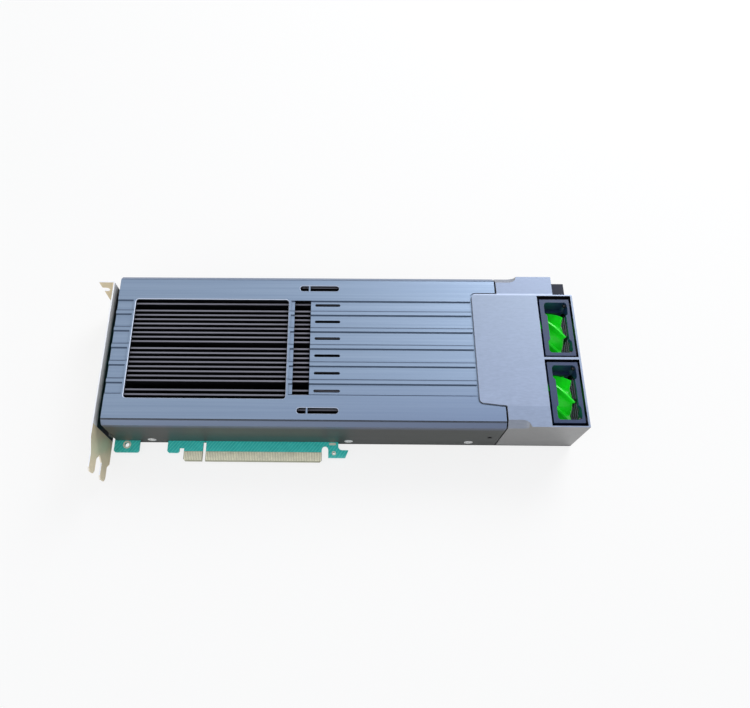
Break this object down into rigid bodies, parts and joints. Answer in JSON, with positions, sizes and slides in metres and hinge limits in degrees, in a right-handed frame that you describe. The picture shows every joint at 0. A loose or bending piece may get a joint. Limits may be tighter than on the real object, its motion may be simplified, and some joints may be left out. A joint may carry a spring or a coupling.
{
  "type": "raid controller card",
  "caption": "Full-length expansion card for stick drives: two-slot bracket, finned heatsink under a brushed fluted cover, and a tail shroud with open edge-on fans.",
  "frame": {"origin": "centre of the bounding box in X and Y, on the plane the back plate lies on", "axes": "+X from the slot bracket towards the tail with the fans, +Y from the edge contacts towards the far side, +Z out of the cover"},
  "size_m": [0.296, 0.125, 0.0387],
  "materials": {
    "board": "teal solder mask over glass-fibre laminate",
    "gold": "gold plate",
    "cover": "blue-grey anodised, brushed lengthwise",
    "shroud": "silver, fine satin",
    "plate": "satin black",
    "rail": "machined",
    "heatsink": "black anodised",
    "spacer": "turned",
    "chip": "moulded package",
    "pad": "soft thermal pad",
    "stick": "dark solder mask",
    "socket": "moulded",
    "riser": "laminate block",
    "coil": "pressed powder",
    "can": "polished can",
    "bracket": "nickel plated",
    "screw": "bright zinc",
    "fan_frame": "moulded, fine grain",
    "rotor": "moulded green",
    "winding": "lacquered copper"
  },
  "bodies": {
    "card": {"board": "board", "edge_contacts": "gold", "plated_rings": "gold", "inlet_pins": "gold", "top_cover": "cover", "tail_shroud": "shroud", "back_plate": "plate", "side_rail_near": "rail", "side_rail_far": "rail", "heatsink": "heatsink", "heatsink_fins": "heatsink", "board_spacers": "spacer", "drive_posts": "spacer", "switch_chip": "chip", "drive_chips": "chip", "chip_pad": "pad", "drive_pads": "pad", "drive_boards": "stick", "drive_sockets": "socket", "power_inlet": "socket", "inlet_riser": "riser", "power_coils": "coil", "power_cans": "can", "bracket": "bracket", "side_screws": "screw", "back_screws": "screw", "bracket_screws": "screw", "heatsink_screws": "screw", "drive_screws": "screw", "fan_screws": "screw", "fan_frame_near": "fan_frame", "fan_frame_far": "fan_frame", "fan_stator_near": "winding", "fan_stator_far": "winding"},
    "rotor_near": {"fan_rotor_near": "rotor"},
    "rotor_far": {"fan_rotor_far": "rotor"}
  },
  "joints": [
    {"name": "fan_near_spin", "type": "hinge", "parent": "card", "child": "rotor_near", "pos_m": [0.13705, -0.01422, 0.01957], "axis": [1, 0, 0], "continuous": true},
    {"name": "fan_far_spin", "type": "hinge", "parent": "card", "child": "rotor_far", "pos_m": [0.13705, 0.02798, 0.01957], "axis": [1, 0, 0], "continuous": true}
  ]
}
